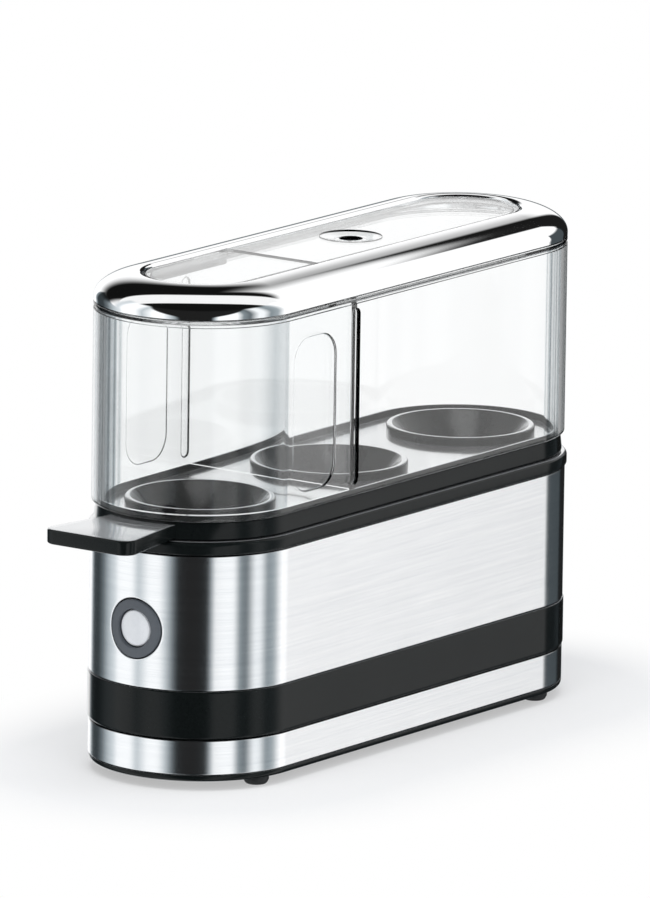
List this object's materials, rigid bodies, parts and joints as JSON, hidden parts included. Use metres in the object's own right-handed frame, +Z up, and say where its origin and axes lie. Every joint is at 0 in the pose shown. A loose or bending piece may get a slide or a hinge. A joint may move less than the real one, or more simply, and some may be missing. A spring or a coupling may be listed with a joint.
{
  "type": "electric egg cooker",
  "caption": "Oblong brushed steel egg cooker with a black seat tray and side handle, clear hood with a chrome top frame, stored cup and push button.",
  "frame": {"origin": "under the middle of the whole part's box, on the surface it stands on", "axes": "+X along the long side, away from the handle and button; +Y across; +Z up"},
  "size_m": [0.2342, 0.0692, 0.1569],
  "materials": {
    "brushed_steel": "brushed lengthwise",
    "chrome": "mirror",
    "black_plastic": "satin to gloss",
    "grey_plastic": "satin",
    "silver_plastic": "satin silver",
    "clear_plastic": "clear, polished",
    "black_rubber": "matte",
    "grey_silicone": "matte",
    "pan_aluminium": "satin",
    "element_steel": "dull",
    "screw_steel": "bright",
    "board_green": "satin",
    "white_plastic": "satin",
    "relay_blue": "satin",
    "capacitor_red": "satin",
    "lead_red": "satin",
    "lead_blue": "satin",
    "lead_white": "satin",
    "clear_lamp": "clear"
  },
  "bodies": {
    "base": {"base_band": "black_plastic", "board_screw_1": "screw_steel", "board_screw_2": "screw_steel", "board_screw_3": "screw_steel", "board_screw_4": "screw_steel", "bottom_plate": "black_plastic", "button_bezel": "grey_plastic", "button_spring": "screw_steel", "buzzer": "black_plastic", "capacitor": "capacitor_red", "chassis_screw_1": "screw_steel", "chassis_screw_2": "screw_steel", "chassis_screw_3": "screw_steel", "chassis_screw_4": "screw_steel", "clamp_nut_1": "screw_steel", "clamp_nut_2": "screw_steel", "collar": "black_plastic", "control_board": "board_green", "cord_gland": "black_rubber", "element_clamp": "screw_steel", "foot_1": "black_rubber", "foot_2": "black_rubber", "foot_3": "black_rubber", "foot_4": "black_rubber", "gland_nut": "black_plastic", "heating_element": "element_steel", "heating_pan": "pan_aluminium", "indicator_led": "clear_lamp", "inner_housing": "black_plastic", "lead_element": "lead_red", "lead_supply": "lead_blue", "lead_switch": "lead_white", "lead_thermostat": "lead_red", "lower_steel_ring": "brushed_steel", "pan_gasket": "grey_silicone", "pan_screw_1": "screw_steel", "pan_screw_2": "screw_steel", "pan_screw_3": "screw_steel", "pan_screw_4": "screw_steel", "relay": "relay_blue", "steel_sleeve": "brushed_steel", "switch_body": "white_plastic", "terminal_block": "white_plastic", "thermal_fuse": "element_steel", "thermostat": "white_plastic"},
    "push_button": {"button_cap": "silver_plastic", "switch_plunger": "white_plastic"},
    "tray": {"egg_tray": "black_plastic"},
    "lid": {"lid_hood": "clear_plastic", "chrome_frame": "chrome"},
    "cup": {"measuring_cup": "clear_plastic"}
  },
  "joints": [
    {"name": "button_press", "type": "slide", "parent": "base", "child": "push_button", "axis": [1, 0, 0], "range_m": [0, 0.0012], "stiffness_N_per_m": 600, "springref_m": -0.001, "deforming": ["button_spring"]},
    {"name": "tray_lift", "type": "slide", "parent": "base", "child": "tray", "axis": [0, 0, 1], "range_m": [0, 0.06]},
    {"name": "lid_lift", "type": "slide", "parent": "tray", "child": "lid", "axis": [0, 0, 1], "range_m": [0, 0.17]},
    {"name": "cup_drop", "type": "slide", "parent": "lid", "child": "cup", "axis": [0, 0, -1], "range_m": [0, 0.0766]}
  ],
  "couplings": [
    {"joint": "cup_drop", "follows": "lid_lift", "ratio": 0.45}
  ]
}
